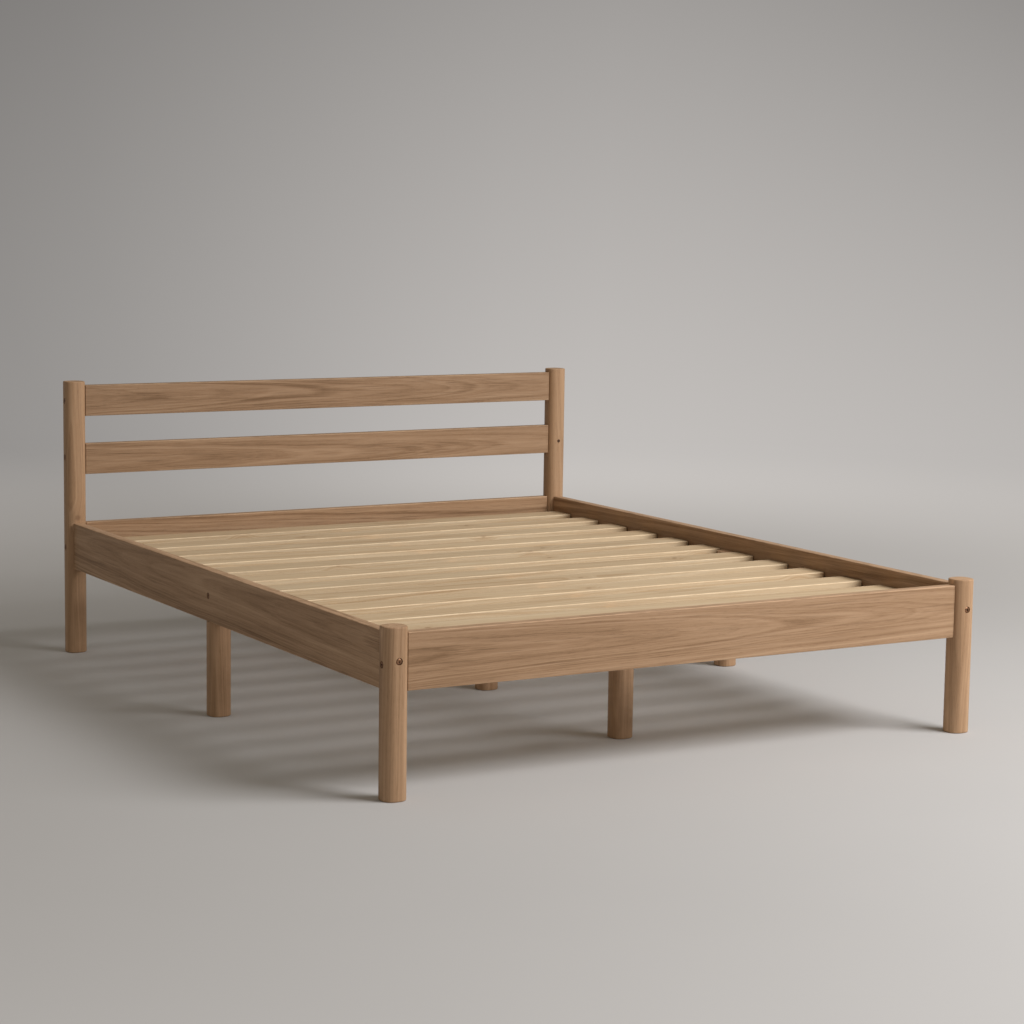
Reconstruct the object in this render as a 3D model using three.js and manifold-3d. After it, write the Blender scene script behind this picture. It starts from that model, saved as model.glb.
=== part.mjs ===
// A double bed frame in solid wood: rounded posts, bolted rails, a headboard and a slatted base.
// Millimetres, +Z up. The origin is on the floor under the middle of the frame, and the headboard is at +Y.
import * as THREE from "three";
import Module from "manifold-3d";
import { mergeVertices } from "three/addons/utils/BufferGeometryUtils.js";

const wasm = await Module();
wasm.setup();

// Driving dimensions: the mattress that the frame holds, and the play around it.
const mattressWidth = 1600;
const mattressLength = 2000;
const mattressPlay = 5;

// Corner posts: a square section with large rounded corners.
const postSize = 60;
const postCornerRadius = 25;
const endRound = 3;
const footPostHeight = 400;
const headPostHeight = 800;

// Side, foot and head-end rails.
const railThickness = 28;
const railHeight = 135;
const railBottom = 250;
const railEdgeRadius = 2.5;

// Headboard rails, by the height of their lower edge.
const headboardRailHeight = 90;
const headboardUpperBottom = 698;
const headboardLowerBottom = 527;

// Legs between the corners.
const legSize = 60;
const legCornerRadius = 25;
const centreLegSpacing = 690;
const centreLegDrop = 10;
const tongueDrop = 2;

// Slatted base.
const slatsPerHalf = 6;
const slatWidth = 90;
const slatThickness = 18;
const slatDrop = 45;
const slatEdgeRadius = 3;
const slatEndPlay = 3;
const slatSidePlay = 8;
const slatEdgeGap = 20;
const ledgerWidth = 28;
const ledgerHeight = 32;
const ledgerPlay = 2;
const ledgerEdgeRadius = 2;
const beamThickness = 28;
const beamHeight = 58;
const beamHousing = 10;
const strapWidth = 25;
const strapThickness = 1.5;
const strapInset = 190;
const strapEndInset = 6;

// Joinery.
const stubTenon = 12;
const longTenon = 40;
const tenonThickness = 12;
const tenonShoulder = 10;
const boltSpacing = 9;
const boltRadius = 3;
const boltClearance = 0.4;
const headRadius = 7;
const headHeight = 3.2;
const headSocket = 2.2;
const socketRadius = 2.6;
const boltChamfer = 0.8;
const recessRadius = 8.3;
const recessDepth = 5;
const nutRadius = 5;
const nutLength = 18;
const nutOffset = 40;
const nutSlot = 1.4;
const screwRadius = 3.5;
const screwLength = 95;
const legScrewLength = 46;
const screwPoint = 8;
const pegRadius = 5;
const pegDepth = 45;
const pegDrop = 6;
const pegChamfer = 0.8;
const pegSet = 0.5;

// Faces that touch on the real frame keep this gap, and cutters run past their faces by the overrun.
const touch = 0.3;
const overrun = 2;

// Facets round a drilled or turned shape, and round a bolt-head recess.
const roundSides = 10;
const turnedSides = 12;
const recessSides = 16;
const domeSteps = [0.9, 0.6];

// Worked out from the sizes above.
const innerWidth = mattressWidth + 2 * mattressPlay;
const innerLength = mattressLength + 2 * mattressPlay;
const postX = (innerWidth + railThickness) / 2;
const postY = (innerLength + railThickness) / 2;
const postOverhang = (postSize - railThickness) / 2;
const railMiddle = railBottom + railHeight / 2;
const slatTop = railBottom + railHeight - slatDrop;
const slatBottom = slatTop - slatThickness;
const supportTop = slatBottom - touch;
const beamBottom = supportTop - beamHeight;
const beamMiddle = supportTop - beamHeight / 2;
const crossRailBolt = railMiddle - boltSpacing / 2;
const sideRailBolt = railMiddle + boltSpacing / 2;
const upperRailMiddle = headboardUpperBottom + headboardRailHeight / 2;
const lowerRailMiddle = headboardLowerBottom + headboardRailHeight / 2;
const lowerRailScrew = lowerRailMiddle + pegDrop;
const lowerRailPeg = lowerRailMiddle - pegDrop;
const headSeat = recessDepth - touch - postSize / 2;
const centreLegPlaces = [-centreLegSpacing, 0, centreLegSpacing];
const firstSlat = legSize / 2 + slatSidePlay + slatWidth / 2;
const lastSlat = innerLength / 2 - postOverhang - slatEdgeGap - slatWidth / 2;
const slatPitch = (lastSlat - firstSlat) / (slatsPerHalf - 1);
const slatPlaces = Array.from({ length: slatsPerHalf }, (_, i) => firstSlat + i * slatPitch);

const finishes = {
  frameWood: { color: 0x9c7651, roughness: 0.55, metalness: 0 },
  slatWood: { color: 0xcbab7d, roughness: 0.7, metalness: 0 },
  pegWood: { color: 0x4a3020, roughness: 0.5, metalness: 0 },
  bronze: { color: 0x4a3a2e, roughness: 0.4, metalness: 0.9 },
  zinc: { color: 0xa8a9a8, roughness: 0.35, metalness: 0.9 },
  webbing: { color: 0xd8d2c4, roughness: 0.95, metalness: 0 },
};

const bed = new THREE.Group();

// --- Solids -------------------------------------------------------------------------------------

function toManifold(geometry) {
  const bare = geometry.clone();
  bare.deleteAttribute("normal");
  bare.deleteAttribute("uv");
  const merged = mergeVertices(bare, 1e-4);
  return new wasm.Manifold(
    new wasm.Mesh({
      numProp: 3,
      vertProperties: new Float32Array(merged.attributes.position.array),
      triVerts: new Uint32Array(merged.index.array),
    }),
  );
}

function toGeometry(manifold) {
  const mesh = manifold.getMesh();
  const geometry = new THREE.BufferGeometry();
  geometry.setAttribute("position", new THREE.BufferAttribute(new Float32Array(mesh.vertProperties), 3));
  geometry.setIndex(new THREE.BufferAttribute(new Uint32Array(mesh.triVerts), 1));
  geometry.computeVertexNormals();
  return geometry;
}

function combine(body, added, removed) {
  let result = toManifold(body);
  for (const piece of added) result = result.add(toManifold(piece));
  for (const piece of removed) result = result.subtract(toManifold(piece));
  return toGeometry(result);
}

function boxBetween(low, high) {
  const size = high.map((value, axis) => value - low[axis]);
  const centre = high.map((value, axis) => (value + low[axis]) / 2);
  return new THREE.BoxGeometry(...size).translate(...centre);
}

// A cylinder along X from one x to another, at a height z.
function rodAlongX(radius, fromX, toX, z = 0, sides = roundSides) {
  const rod = new THREE.CylinderGeometry(radius, radius, toX - fromX, sides);
  return rod.rotateZ(-Math.PI / 2).translate((fromX + toX) / 2, 0, z);
}

// The same between two x in either order.
function rodBetween(radius, x1, x2, z) {
  return rodAlongX(radius, Math.min(x1, x2), Math.max(x1, x2), z);
}

// A cylinder along Y from one y to another, at a place x, z.
function rodAlongY(radius, fromY, toY, x, z) {
  const cylinder = new THREE.CylinderGeometry(radius, radius, toY - fromY, roundSides);
  return cylinder.translate(x, (fromY + toY) / 2, z);
}

function roundedRectangle(width, height, radius) {
  const x = width / 2;
  const y = height / 2;
  const shape = new THREE.Shape();
  shape.moveTo(-x + radius, -y);
  shape.lineTo(x - radius, -y);
  shape.absarc(x - radius, -y + radius, radius, -Math.PI / 2, 0);
  shape.lineTo(x, y - radius);
  shape.absarc(x - radius, y - radius, radius, 0, Math.PI / 2);
  shape.lineTo(-x + radius, y);
  shape.absarc(-x + radius, y - radius, radius, Math.PI / 2, Math.PI);
  shape.lineTo(-x, -y + radius);
  shape.absarc(-x + radius, -y + radius, radius, Math.PI, 1.5 * Math.PI);
  return shape;
}

// An upright post of the given height, its foot and top edges rounded over.
function roundedPost(size, cornerRadius, height) {
  return new THREE.ExtrudeGeometry(roundedRectangle(size, size, cornerRadius), {
    depth: height - 2 * endRound,
    curveSegments: 5,
    bevelThickness: endRound,
    bevelSize: endRound,
    bevelOffset: -endRound,
    bevelSegments: 1,
  }).translate(0, 0, endRound);
}

// A board along X, centred on the origin, with its four long edges eased.
function easedBoard(length, thickness, height, edgeRadius) {
  const board = new THREE.ExtrudeGeometry(roundedRectangle(thickness, height, edgeRadius), {
    depth: length,
    curveSegments: 2,
    bevelEnabled: false,
  });
  return board.translate(0, 0, -length / 2).rotateX(Math.PI / 2).rotateZ(Math.PI / 2);
}

// --- Placing ------------------------------------------------------------------------------------

function place(name, geometry, finish, position, turn = 0) {
  const mesh = new THREE.Mesh(geometry, new THREE.MeshStandardMaterial(finishes[finish]));
  mesh.name = name;
  mesh.position.set(...position);
  mesh.rotation.z = turn;
  bed.add(mesh);
}

// --- Joints between a post and a rail -----------------------------------------------------------
// Each is drawn in a frame centred on the post, with the rail leaving along +X and the head of its
// bolt at -X. The turn then points it along the rail.

function jointCutters({ turn, middle, tenonHeight, tenonLength, fastenerZ, fastenerRadius }) {
  const face = postSize / 2;
  const mortise = boxBetween(
    [face - tenonLength - touch, -tenonThickness / 2 - touch, middle - tenonHeight / 2 - touch],
    [face + overrun, tenonThickness / 2 + touch, middle + tenonHeight / 2 + touch],
  );
  const hole = rodAlongX(fastenerRadius + boltClearance, -face - overrun, face + overrun, fastenerZ);
  const recess = rodAlongX(recessRadius, -face - overrun, -face + recessDepth, fastenerZ, recessSides);
  return [mortise, hole, recess].map((cutter) => cutter.rotateZ(turn));
}

function railJoint(turn, fastenerZ) {
  const tenonHeight = railHeight - 2 * tenonShoulder;
  return {
    turn,
    fastenerZ,
    middle: railMiddle,
    tenonHeight,
    tenonLength: stubTenon,
    fastenerRadius: boltRadius,
  };
}

function headboardJoint(turn, middle, fastenerZ) {
  const tenonHeight = headboardRailHeight - 2 * tenonShoulder;
  return { turn, fastenerZ, middle, tenonHeight, tenonLength: longTenon, fastenerRadius: screwRadius };
}

// --- Posts --------------------------------------------------------------------------------------

// The turns that point from a post to its rails, for a post on the given side (-1 left, 1 right) and
// end (-1 foot, 1 head).
function acrossTurn(side) {
  return side < 0 ? 0 : Math.PI;
}

function alongTurn(end) {
  return end < 0 ? Math.PI / 2 : -Math.PI / 2;
}

function pegHoleInPost() {
  return rodAlongY(pegRadius + touch, -postSize / 2 - overrun, -postSize / 2 + pegDepth, 0, lowerRailPeg);
}

function cornerPost(side, end) {
  const joints = [railJoint(acrossTurn(side), crossRailBolt), railJoint(alongTurn(end), sideRailBolt)];
  const cutters = [];
  if (end > 0) {
    joints.push(headboardJoint(acrossTurn(side), upperRailMiddle, upperRailMiddle));
    joints.push(headboardJoint(acrossTurn(side), lowerRailMiddle, lowerRailScrew));
    if (side > 0) cutters.push(pegHoleInPost());
  }
  cutters.push(...joints.flatMap(jointCutters));
  const height = end < 0 ? footPostHeight : headPostHeight;
  return combine(roundedPost(postSize, postCornerRadius, height), [], cutters);
}

// --- Rails --------------------------------------------------------------------------------------

// A board along X between two posts, its height centred on z = 0, with a tenon at each end.
function tenonedBoard(postSpan, height, tenonLength, removed) {
  const length = postSpan - postSize - 2 * touch;
  const tenonHeight = height - 2 * tenonShoulder;
  const tenon = boxBetween(
    [-length / 2 - tenonLength, -tenonThickness / 2, -tenonHeight / 2],
    [length / 2 + tenonLength, tenonThickness / 2, tenonHeight / 2],
  );
  return combine(easedBoard(length, railThickness, height, railEdgeRadius), [tenon], removed);
}

// The bolt hole and the cross hole for the barrel nut at one end of a rail. Its inner face is at +Y.
function boltedEndHoles(postSpan, z, end) {
  const face = (postSpan - postSize) / 2;
  const nutX = end * (face - nutOffset);
  const bolt = rodBetween(
    boltRadius + boltClearance,
    end * (face + stubTenon + overrun),
    nutX - end * (nutRadius + boltRadius),
    z,
  );
  const cross = rodAlongY(nutRadius + touch, -nutLength / 2 - touch, railThickness / 2 + overrun, nutX, z);
  return [bolt, cross];
}

function boltedRail(postSpan, boltZ, removed) {
  const holes = [-1, 1].flatMap((end) => boltedEndHoles(postSpan, boltZ - railMiddle, end));
  return tenonedBoard(postSpan, railHeight, stubTenon, [...holes, ...removed]);
}

// The foot and head-end rails hold the end of the centre beam in a housing cut into the inner face.
function crossRail() {
  const housing = boxBetween(
    [-beamThickness / 2 - touch, railThickness / 2 - beamHousing, beamBottom - touch - railMiddle],
    [beamThickness / 2 + touch, railThickness / 2 + overrun, supportTop + touch - railMiddle],
  );
  return boltedRail(2 * postX, crossRailBolt, [housing]);
}

// The side rails are drilled in the middle for the screw into the leg behind them.
function sideRail() {
  const outer = -railThickness / 2;
  const hole = rodAlongY(screwRadius + boltClearance, outer - overrun, -outer + overrun, 0, 0);
  const recess = rodAlongY(recessRadius, outer - overrun, outer + recessDepth, 0, 0);
  return boltedRail(2 * postY, sideRailBolt, [hole, recess]);
}

function headboardRail(screwZ, removed = []) {
  const face = postX - postSize / 2;
  const reach = screwLength + recessDepth - postSize;
  const holes = [-1, 1].map((end) =>
    rodBetween(
      screwRadius + boltClearance,
      end * (face + longTenon + overrun),
      end * (face - reach - overrun),
      screwZ,
    ),
  );
  return tenonedBoard(2 * postX, headboardRailHeight, longTenon, [...holes, ...removed]);
}

function lowerHeadboardRail() {
  const pegHole = rodAlongY(pegRadius + touch, -tenonThickness, tenonThickness, postX, -pegDrop);
  return headboardRail(pegDrop, [pegHole]);
}

// --- Legs between the corners ----------------------------------------------------------------------

// A leg under a side rail. Its outer part stops under the rail, and a tongue rises behind the rail.
// The outer face is at -X.
function sideLeg() {
  const height = slatTop - tongueDrop;
  const railBack = -legSize / 2 + railThickness + touch;
  const notch = boxBetween(
    [-legSize / 2 - overrun, -legSize / 2 - overrun, railBottom - touch],
    [railBack, legSize / 2 + overrun, height + overrun],
  );
  const tip = -legSize / 2 + recessDepth + legScrewLength + overrun;
  const pilot = rodAlongX(screwRadius + boltClearance, railBack - overrun, tip, railMiddle);
  return combine(roundedPost(legSize, legCornerRadius, height), [], [notch, pilot]);
}

// A leg under the centre beam, with an open slot in its top that straddles the beam, and a peg hole
// across it.
function centreLeg() {
  const height = supportTop - centreLegDrop;
  const slot = boxBetween(
    [-beamThickness / 2 - touch, -legSize / 2 - overrun, beamBottom - touch],
    [beamThickness / 2 + touch, legSize / 2 + overrun, height + overrun],
  );
  const pegHole = rodAlongX(pegRadius + touch, -legSize / 2 - overrun, legSize / 2 + overrun, beamMiddle);
  return combine(roundedPost(legSize, legCornerRadius, height), [], [slot, pegHole]);
}

// --- Slatted base ----------------------------------------------------------------------------------

function centreBeam() {
  const length = innerLength + 2 * (beamHousing - touch);
  const pegHoles = centreLegPlaces.map((x) =>
    rodAlongY(pegRadius + touch, -beamThickness, beamThickness, x, 0),
  );
  return combine(easedBoard(length, beamThickness, beamHeight, railEdgeRadius), [], pegHoles);
}

function placeSlats() {
  const slat = easedBoard(innerWidth - 2 * slatEndPlay, slatWidth, slatThickness, slatEdgeRadius);
  const places = [-1, 1].flatMap((half) => slatPlaces.map((y) => half * y)).sort((a, b) => a - b);
  places.forEach((y, i) => {
    const name = `slat_${String(i + 1).padStart(2, "0")}`;
    place(name, slat.clone(), "slatWood", [0, y, slatTop - slatThickness / 2]);
  });
}

// Each side has two ledgers, one on each side of the leg's tongue.
function placeLedgers() {
  const start = legSize / 2 + ledgerPlay;
  const finish = innerLength / 2 - postOverhang - ledgerPlay;
  const x = innerWidth / 2 - touch - ledgerWidth / 2;
  for (const side of [-1, 1]) {
    for (const end of [-1, 1]) {
      const ledger = easedBoard(finish - start, ledgerWidth, ledgerHeight, ledgerEdgeRadius);
      const centre = [side * x, (end * (start + finish)) / 2, supportTop - ledgerHeight / 2];
      place(`slat_ledger_${sideName(side)}_${endName(end)}`, ledger, "frameWood", centre, Math.PI / 2);
    }
  }
}

// Two webbing straps run under the slats and keep them spaced.
function placeStraps() {
  const reach = slatPlaces.at(-1) + slatWidth / 2 - strapEndInset;
  const z = slatBottom - touch - strapThickness / 2;
  for (const side of [-1, 1]) {
    const strap = new THREE.BoxGeometry(strapWidth, 2 * reach, strapThickness);
    place(`slat_strap_${sideName(side)}`, strap, "webbing", [side * (innerWidth / 2 - strapInset), 0, z]);
  }
}

// --- Fasteners ---------------------------------------------------------------------------------------
// Bolts and screws are drawn along +X, with the underside of the head at the origin.

function fastener(radius, length, tipLength, tipRadius) {
  const half = headHeight / 2;
  const dome = domeSteps.map((share) => [
    headRadius * share,
    half + half * Math.sqrt(1 - share * share),
  ]);
  const profile = [
    [0, -length],
    ...(tipRadius > 0 ? [[tipRadius, -length]] : []),
    [radius, -length + tipLength],
    [radius, 0],
    [headRadius, 0],
    [headRadius, half],
    ...dome,
    [0, headHeight],
  ].map(([r, y]) => new THREE.Vector2(r, y));
  const turned = new THREE.LatheGeometry(profile, turnedSides).rotateZ(Math.PI / 2);
  const socket = new THREE.CylinderGeometry(socketRadius, socketRadius, 2 * headSocket, 6);
  return combine(turned, [], [socket.rotateZ(Math.PI / 2).translate(-headHeight, 0, 0)]);
}

function connectorBolt() {
  const length = postSize - recessDepth + nutOffset + nutRadius;
  return fastener(boltRadius, length, boltChamfer, boltRadius - boltChamfer);
}

function woodScrew(length) {
  return fastener(screwRadius, length, screwPoint, 0);
}

// A cross dowel with its bolt hole, and a slot in the end that shows on the rail's inner face.
function barrelNut(innerSide) {
  const body = new THREE.CylinderGeometry(nutRadius, nutRadius, nutLength, roundSides);
  const hole = rodAlongX(boltRadius + touch, -nutRadius - overrun, nutRadius + overrun);
  const slotDepths = [nutLength / 2 - nutSlot, nutLength / 2 + overrun].map((y) => y * innerSide);
  const slot = boxBetween(
    [-nutRadius - overrun, Math.min(...slotDepths), -nutSlot / 2],
    [nutRadius + overrun, Math.max(...slotDepths), nutSlot / 2],
  );
  return combine(body, [], [hole, slot]);
}

// A round wooden peg along X with chamfered ends, centred on the origin.
function peg(length) {
  const end = length / 2;
  const profile = [
    [0, -end],
    [pegRadius - pegChamfer, -end],
    [pegRadius, pegChamfer - end],
    [pegRadius, end - pegChamfer],
    [pegRadius - pegChamfer, end],
    [0, end],
  ].map(([r, y]) => new THREE.Vector2(r, y));
  return new THREE.LatheGeometry(profile, turnedSides).rotateZ(-Math.PI / 2);
}

// --- The assembly --------------------------------------------------------------------------------------

function sideName(side) {
  return side < 0 ? "left" : "right";
}

function endName(end) {
  return end < 0 ? "foot" : "head";
}

// Puts a fastener in a post's joint: "along" millimetres from the post's centre towards the rail.
function placeInJoint(name, geometry, finish, side, end, turn, along, z) {
  const x = side * postX + along * Math.cos(turn);
  const y = end * postY + along * Math.sin(turn);
  place(name, geometry, finish, [x, y, z], turn);
}

function placeCorner(side, end) {
  const corner = `${endName(end)}_${sideName(side)}`;
  const centre = [side * postX, end * postY, 0];
  place(`${endName(end)}_post_${sideName(side)}`, cornerPost(side, end), "frameWood", centre);
  const rails = [
    { rail: `${endName(end)}_rail`, turn: acrossTurn(side), z: crossRailBolt, innerSide: side * end },
    { rail: "side_rail", turn: alongTurn(end), z: sideRailBolt, innerSide: -side * end },
  ];
  for (const { rail, turn, z, innerSide } of rails) {
    placeInJoint(`${rail}_bolt_${corner}`, connectorBolt(), "bronze", side, end, turn, headSeat, z);
    const nutPlace = postSize / 2 + nutOffset;
    placeInJoint(`${rail}_barrel_nut_${corner}`, barrelNut(innerSide), "zinc", side, end, turn, nutPlace, z);
  }
}

function placeHeadboard() {
  place("headboard_upper_rail", headboardRail(0), "frameWood", [0, postY, upperRailMiddle]);
  place("headboard_lower_rail", lowerHeadboardRail(), "frameWood", [0, postY, lowerRailMiddle]);
  for (const side of [-1, 1]) {
    for (const [rail, z] of [["upper", upperRailMiddle], ["lower", lowerRailScrew]]) {
      const name = `headboard_${rail}_screw_${sideName(side)}`;
      placeInJoint(name, woodScrew(screwLength), "bronze", side, 1, acrossTurn(side), headSeat, z);
    }
  }
  const tenonPeg = peg(pegDepth - touch);
  const y = postY - postSize / 2 + (pegDepth - touch) / 2;
  place("headboard_tenon_peg_right", tenonPeg, "pegWood", [postX, y, lowerRailPeg], Math.PI / 2);
}

function placeRails() {
  place("foot_rail", crossRail(), "frameWood", [0, -postY, railMiddle]);
  place("head_rail", crossRail(), "frameWood", [0, postY, railMiddle], Math.PI);
  place("side_rail_left", sideRail(), "frameWood", [-postX, 0, railMiddle], -Math.PI / 2);
  place("side_rail_right", sideRail(), "frameWood", [postX, 0, railMiddle], Math.PI / 2);
}

function placeSideLegs() {
  const outerFace = postX + railThickness / 2;
  for (const side of [-1, 1]) {
    const turn = side < 0 ? 0 : Math.PI;
    const screwSeat = side * (outerFace - recessDepth + touch);
    const legCentre = [side * (outerFace - legSize / 2), 0, 0];
    place(`side_leg_${sideName(side)}`, sideLeg(), "frameWood", legCentre, turn);
    const screw = woodScrew(legScrewLength);
    place(`side_leg_screw_${sideName(side)}`, screw, "bronze", [screwSeat, 0, railMiddle], turn);
  }
}

function placeCentreLegs() {
  place("centre_beam", centreBeam(), "frameWood", [0, 0, beamMiddle], Math.PI / 2);
  centreLegPlaces.forEach((y, i) => {
    const where = ["foot", "middle", "head"][i];
    place(`centre_leg_${where}`, centreLeg(), "frameWood", [0, y, 0]);
    place(`centre_leg_peg_${where}`, peg(legSize - 2 * pegSet), "pegWood", [0, y, beamMiddle]);
  });
}

for (const end of [-1, 1]) {
  for (const side of [-1, 1]) placeCorner(side, end);
}
placeRails();
placeHeadboard();
placeSideLegs();
placeCentreLegs();
placeLedgers();
placeSlats();
placeStraps();

export default bed;
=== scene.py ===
import math
import random

import bmesh
import bpy
from mathutils import Matrix, Vector


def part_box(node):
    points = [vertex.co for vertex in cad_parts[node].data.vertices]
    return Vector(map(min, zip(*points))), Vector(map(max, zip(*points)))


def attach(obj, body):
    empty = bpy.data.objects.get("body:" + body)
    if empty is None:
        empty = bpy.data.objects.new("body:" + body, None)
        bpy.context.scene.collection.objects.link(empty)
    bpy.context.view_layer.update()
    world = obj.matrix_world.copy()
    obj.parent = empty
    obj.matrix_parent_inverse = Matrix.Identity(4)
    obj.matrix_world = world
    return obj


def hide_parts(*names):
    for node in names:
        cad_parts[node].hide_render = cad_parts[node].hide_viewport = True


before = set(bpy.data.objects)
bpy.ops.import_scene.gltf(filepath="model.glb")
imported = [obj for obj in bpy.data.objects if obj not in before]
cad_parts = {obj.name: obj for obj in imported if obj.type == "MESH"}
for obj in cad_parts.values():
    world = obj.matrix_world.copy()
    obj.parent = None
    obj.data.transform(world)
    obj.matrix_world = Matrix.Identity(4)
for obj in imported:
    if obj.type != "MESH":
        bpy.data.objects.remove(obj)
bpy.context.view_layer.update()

MM = 0.001
SIDES = {"left": -1, "right": 1}
ENDS = {"foot": -1, "head": 1}

# Sizes that the CAD model's boxes don't give.
POST_CORNER = 25 * MM
END_ROUND = 3 * MM
BOARD_EDGE = 2.5 * MM
BOARD_END = 0.6 * MM
LEAST_EDGE = 0.2 * MM
SLAT_EDGE = 3 * MM
LEDGER_EDGE = 2 * MM
STUB_TENON = 12 * MM
LONG_TENON = 40 * MM
TENON_THICKNESS = 12 * MM
TENON_SHOULDER = 10 * MM
TENON_EDGE = 0.5 * MM
RECESS_RADIUS = 8.3 * MM
RECESS_DEPTH = 5 * MM
RECESS_RIM = 0.5 * MM
PLAY = 0.3 * MM

# Fasteners, and the holes drilled for them.
HEAD_HEIGHT = 3.2 * MM
HEAD_RISE = 1.1 * MM
HEAD_RADIUS = 7.3 * MM
HEAD_CROWN = 3.2 * MM
SOCKET_RADIUS = 2.9 * MM
SOCKET_DEPTH = 2.4 * MM
BOLT_RADIUS = 3 * MM
BOLT_POINT = 0.8 * MM
BOLT_HOLE = 3.4 * MM
BOLT_PAST_NUT = 8 * MM
SCREW_RADIUS = 3.5 * MM
SCREW_POINT = 3 * MM
SCREW_HOLE = 3.9 * MM
RAIL_SCREW_DEPTH = 42 * MM
LEG_SCREW_DEPTH = 24 * MM
NUT_RADIUS = 5 * MM
NUT_EDGE = 0.5 * MM
NUT_BORE = 3.3 * MM
NUT_SLOT = 1.4 * MM
NUT_HOLE = 5.3 * MM
NUT_HOLE_RIM = 0.3 * MM
NUT_HOLE_PAST = 9.3 * MM
NUT_OFFSET = 40 * MM
PEG_RADIUS = 5 * MM
PEG_END = ((0, 3.4 * MM), (0.25 * MM, 4.4 * MM), (1.0 * MM, PEG_RADIUS))

# The slats' straps.
STRAP_EDGE = 0.6 * MM
STRAP_STEPS = 620
STRAP_SAG = 1.8 * MM

# How far a cutter runs past a face, and how near a face counts as on it.
PAST = 2 * MM
ON_FACE = 0.1 * MM

# How deep in a hole its painted shade starts, and how far outside its radius the painted shade
# still counts.
RIM_DEPTH = 1.2 * MM
RIM_REACH = 0.6 * MM

# Looks: how much pieces of one wood differ, how much light is painted on the top faces, and the
# posts' wood.
TONE_SPREAD = 0.05
RAIL_TOP_LIGHT = 0.7
POST_TOP_LIGHT = 0.6
POST_TONE = 0.09
POST_FIGURE = 0.68

CORNER_STEPS = 10
EDGE_STEPS = 4
CROWN_STEPS = 8
ROUND_SIDES = 40

SLATS = [f"slat_{i:02d}" for i in range(1, 13)]
CENTRE_LEGS = ("foot", "middle", "head")

random.seed(41)


# --- Shapes ---------------------------------------------------------------------------------------


def rounded_outline(width, height, radius, steps):
    """Points round a rectangle with rounded corners, centred on the origin."""
    points = []
    for across, up, start in ((1, 1, 0), (-1, 1, 90), (-1, -1, 180), (1, -1, 270)):
        for k in range(steps + 1):
            angle = math.radians(start + 90 * k / steps)
            x = across * (width / 2 - radius) + radius * math.cos(angle)
            y = up * (height / 2 - radius) + radius * math.sin(angle)
            points.append((x, y))
    return points


def circle(radius, sides=ROUND_SIDES):
    turns = [2 * math.pi * k / sides for k in range(sides)]
    return [(radius * math.cos(turn), radius * math.sin(turn)) for turn in turns]


def loft(name, sections, matrix):
    """A closed solid through sections, each a distance along local X and an outline in Y, Z."""
    mesh_builder = bmesh.new()
    rings = [
        [mesh_builder.verts.new(matrix @ Vector((along, y, z))) for y, z in outline]
        for along, outline in sections
    ]
    count = len(rings[0])
    for ring, after in zip(rings, rings[1:]):
        for i in range(count):
            j = (i + 1) % count
            mesh_builder.faces.new((ring[i], ring[j], after[j], after[i]))
    mesh_builder.faces.new(list(reversed(rings[0])))
    mesh_builder.faces.new(rings[-1])
    bmesh.ops.recalc_face_normals(mesh_builder, faces=mesh_builder.faces)
    mesh = bpy.data.meshes.new(name)
    mesh_builder.to_mesh(mesh)
    mesh_builder.free()
    piece = bpy.data.objects.new(name, mesh)
    bpy.context.scene.collection.objects.link(piece)
    return piece


def pointing(origin, direction):
    """A matrix that puts the local origin at a point and turns local X to a direction."""
    turn = Vector(direction).to_track_quat("X", "Z").to_matrix().to_4x4()
    return Matrix.Translation(origin) @ turn


def turned(name, profile, origin, direction, sides=ROUND_SIDES):
    """A turned solid: profile is (distance along the direction, radius) pairs."""
    sections = [(along, circle(radius, sides)) for along, radius in profile]
    return loft(name, sections, pointing(origin, direction))


def block(low, high):
    """A box-shaped cutter between two corners."""
    low, high = Vector(low), Vector(high)
    size = high - low
    outline = [(size.y, size.z), (0, size.z), (0, 0), (size.y, 0)]
    return loft("cutter", [(0, outline), (size.x, outline)], Matrix.Translation(low))


def bore(start, direction, radius, depth):
    """A cutter for a plain hole from a surface point inwards."""
    return turned("cutter", [(-PAST, radius), (depth, radius)], start, direction)


def recess(start, direction, radius=RECESS_RADIUS, depth=RECESS_DEPTH, rim=RECESS_RIM):
    """A cutter for a flat-bottomed recess with a broken edge at its rim."""
    profile = [(-PAST, radius + rim + PAST), (rim, radius), (depth, radius)]
    return turned("cutter", profile, start, direction)


def cut(piece, cutters):
    """Takes the cutters out of the piece, and removes them."""
    for cutter in cutters:
        step = piece.modifiers.new("cut", "BOOLEAN")
        step.operation = "DIFFERENCE"
        step.solver = "MANIFOLD"
        step.object = cutter
    bpy.context.view_layer.update()
    evaluated = piece.evaluated_get(bpy.context.evaluated_depsgraph_get())
    result = bpy.data.meshes.new_from_object(evaluated)
    piece.modifiers.clear()
    piece.data = result
    for cutter in cutters:
        bpy.data.objects.remove(cutter)


# --- Finishing a piece ----------------------------------------------------------------------------


def smooth(piece, angle=32):
    """Smooth shading over roundings, with the flat faces kept flat."""
    piece.data.polygons.foreach_set("use_smooth", [True] * len(piece.data.polygons))
    piece.data.set_sharp_from_angle(angle=math.radians(angle))
    weighted = piece.modifiers.new("flat_faces", "WEIGHTED_NORMAL")
    weighted.keep_sharp = True


def add_values(piece, name, values, kind="FLOAT"):
    attribute = piece.data.attributes.new(name, kind, "POINT")
    field = "vector" if kind == "FLOAT_VECTOR" else "value"
    attribute.data.foreach_set(field, values)


def finish_piece(piece, node, material):
    piece.data.materials.clear()
    piece.data.materials.append(material)
    smooth(piece)
    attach(piece, "root")
    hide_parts(node)


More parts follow.
